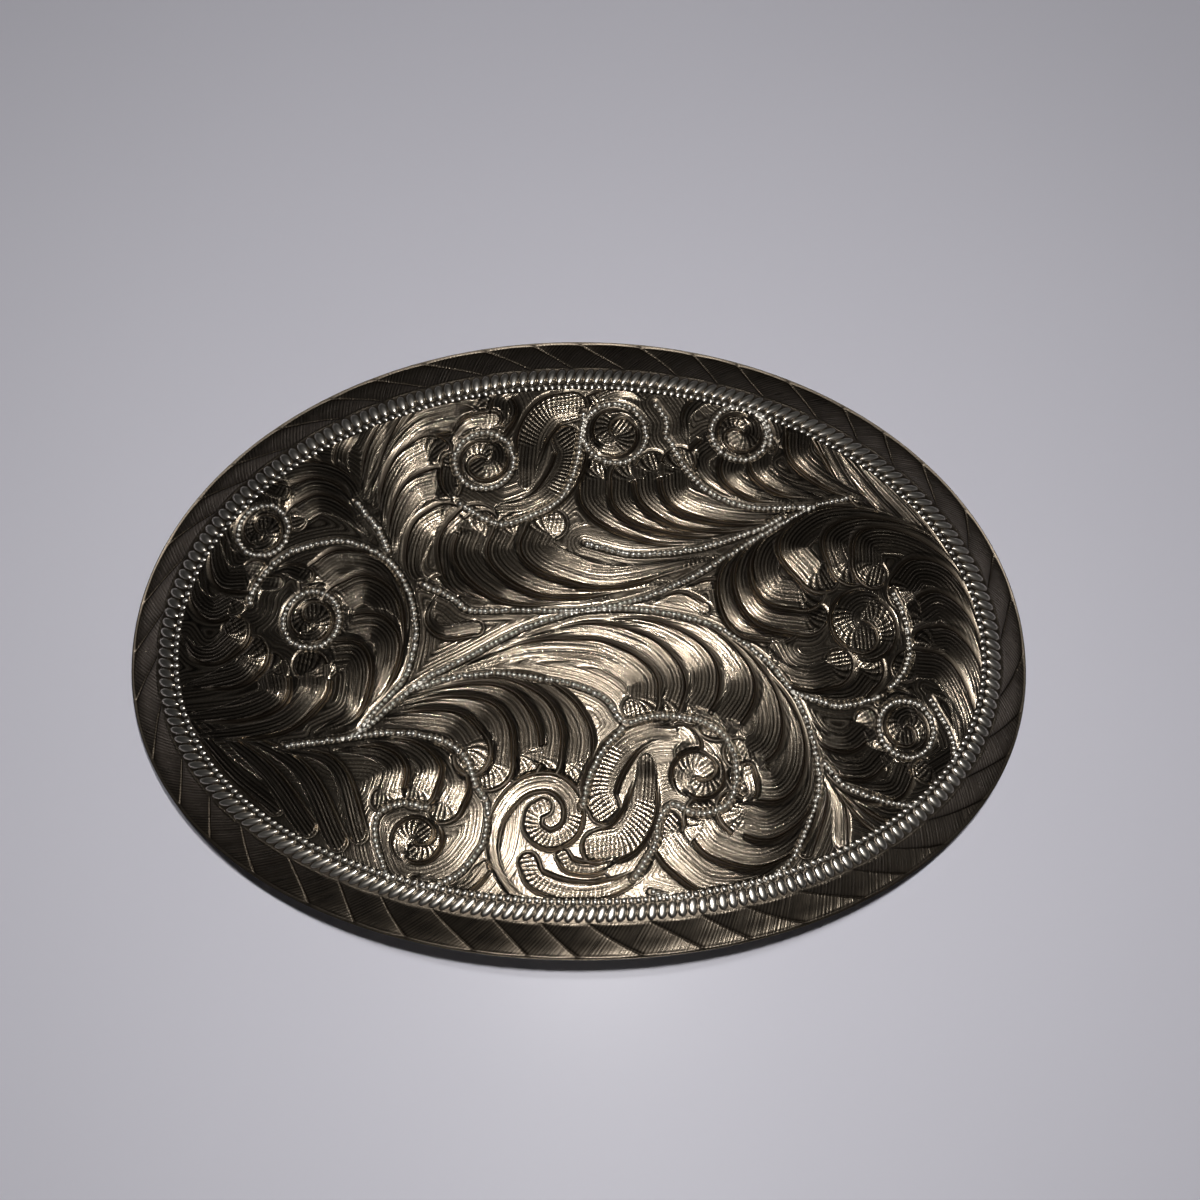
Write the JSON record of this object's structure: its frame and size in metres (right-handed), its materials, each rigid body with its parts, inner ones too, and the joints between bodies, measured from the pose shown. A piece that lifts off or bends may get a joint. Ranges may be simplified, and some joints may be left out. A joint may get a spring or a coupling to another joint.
{
  "type": "belt buckle",
  "caption": "Oval scroll-engraved plate buckle, bent to the waist, with a hinged rectangular belt bail and a leaning belt hook on its back.",
  "frame": {"origin": "on the surface the buckle lies on, face up, under the middle of the oval plate", "axes": "+X along the oval's long axis, towards the hook; +Y up the face as it is worn; +Z out of the face"},
  "size_m": [0.092, 0.0624, 0.0096],
  "materials": {
    "engraved_plate": "bright-cut engraved nickel silver, darkened in the cuts",
    "back_hardware": "tumbled nickel silver",
    "silver_solder": "dull, pickled"
  },
  "bodies": {
    "plate": {"face_plate": "engraved_plate", "hinge_tube": "back_hardware", "tube_solder_outer": "silver_solder", "tube_solder_inner": "silver_solder", "hook_pad": "back_hardware", "hook_solder": "silver_solder", "hook_prong": "back_hardware"},
    "bail": {"bail": "back_hardware"}
  },
  "joints": [
    {"name": "bail_hinge", "type": "hinge", "parent": "plate", "child": "bail", "pos_m": [-0.01475, 0, 0.00454], "axis": [0, -1, 0], "range_deg": [-6, 173]}
  ]
}
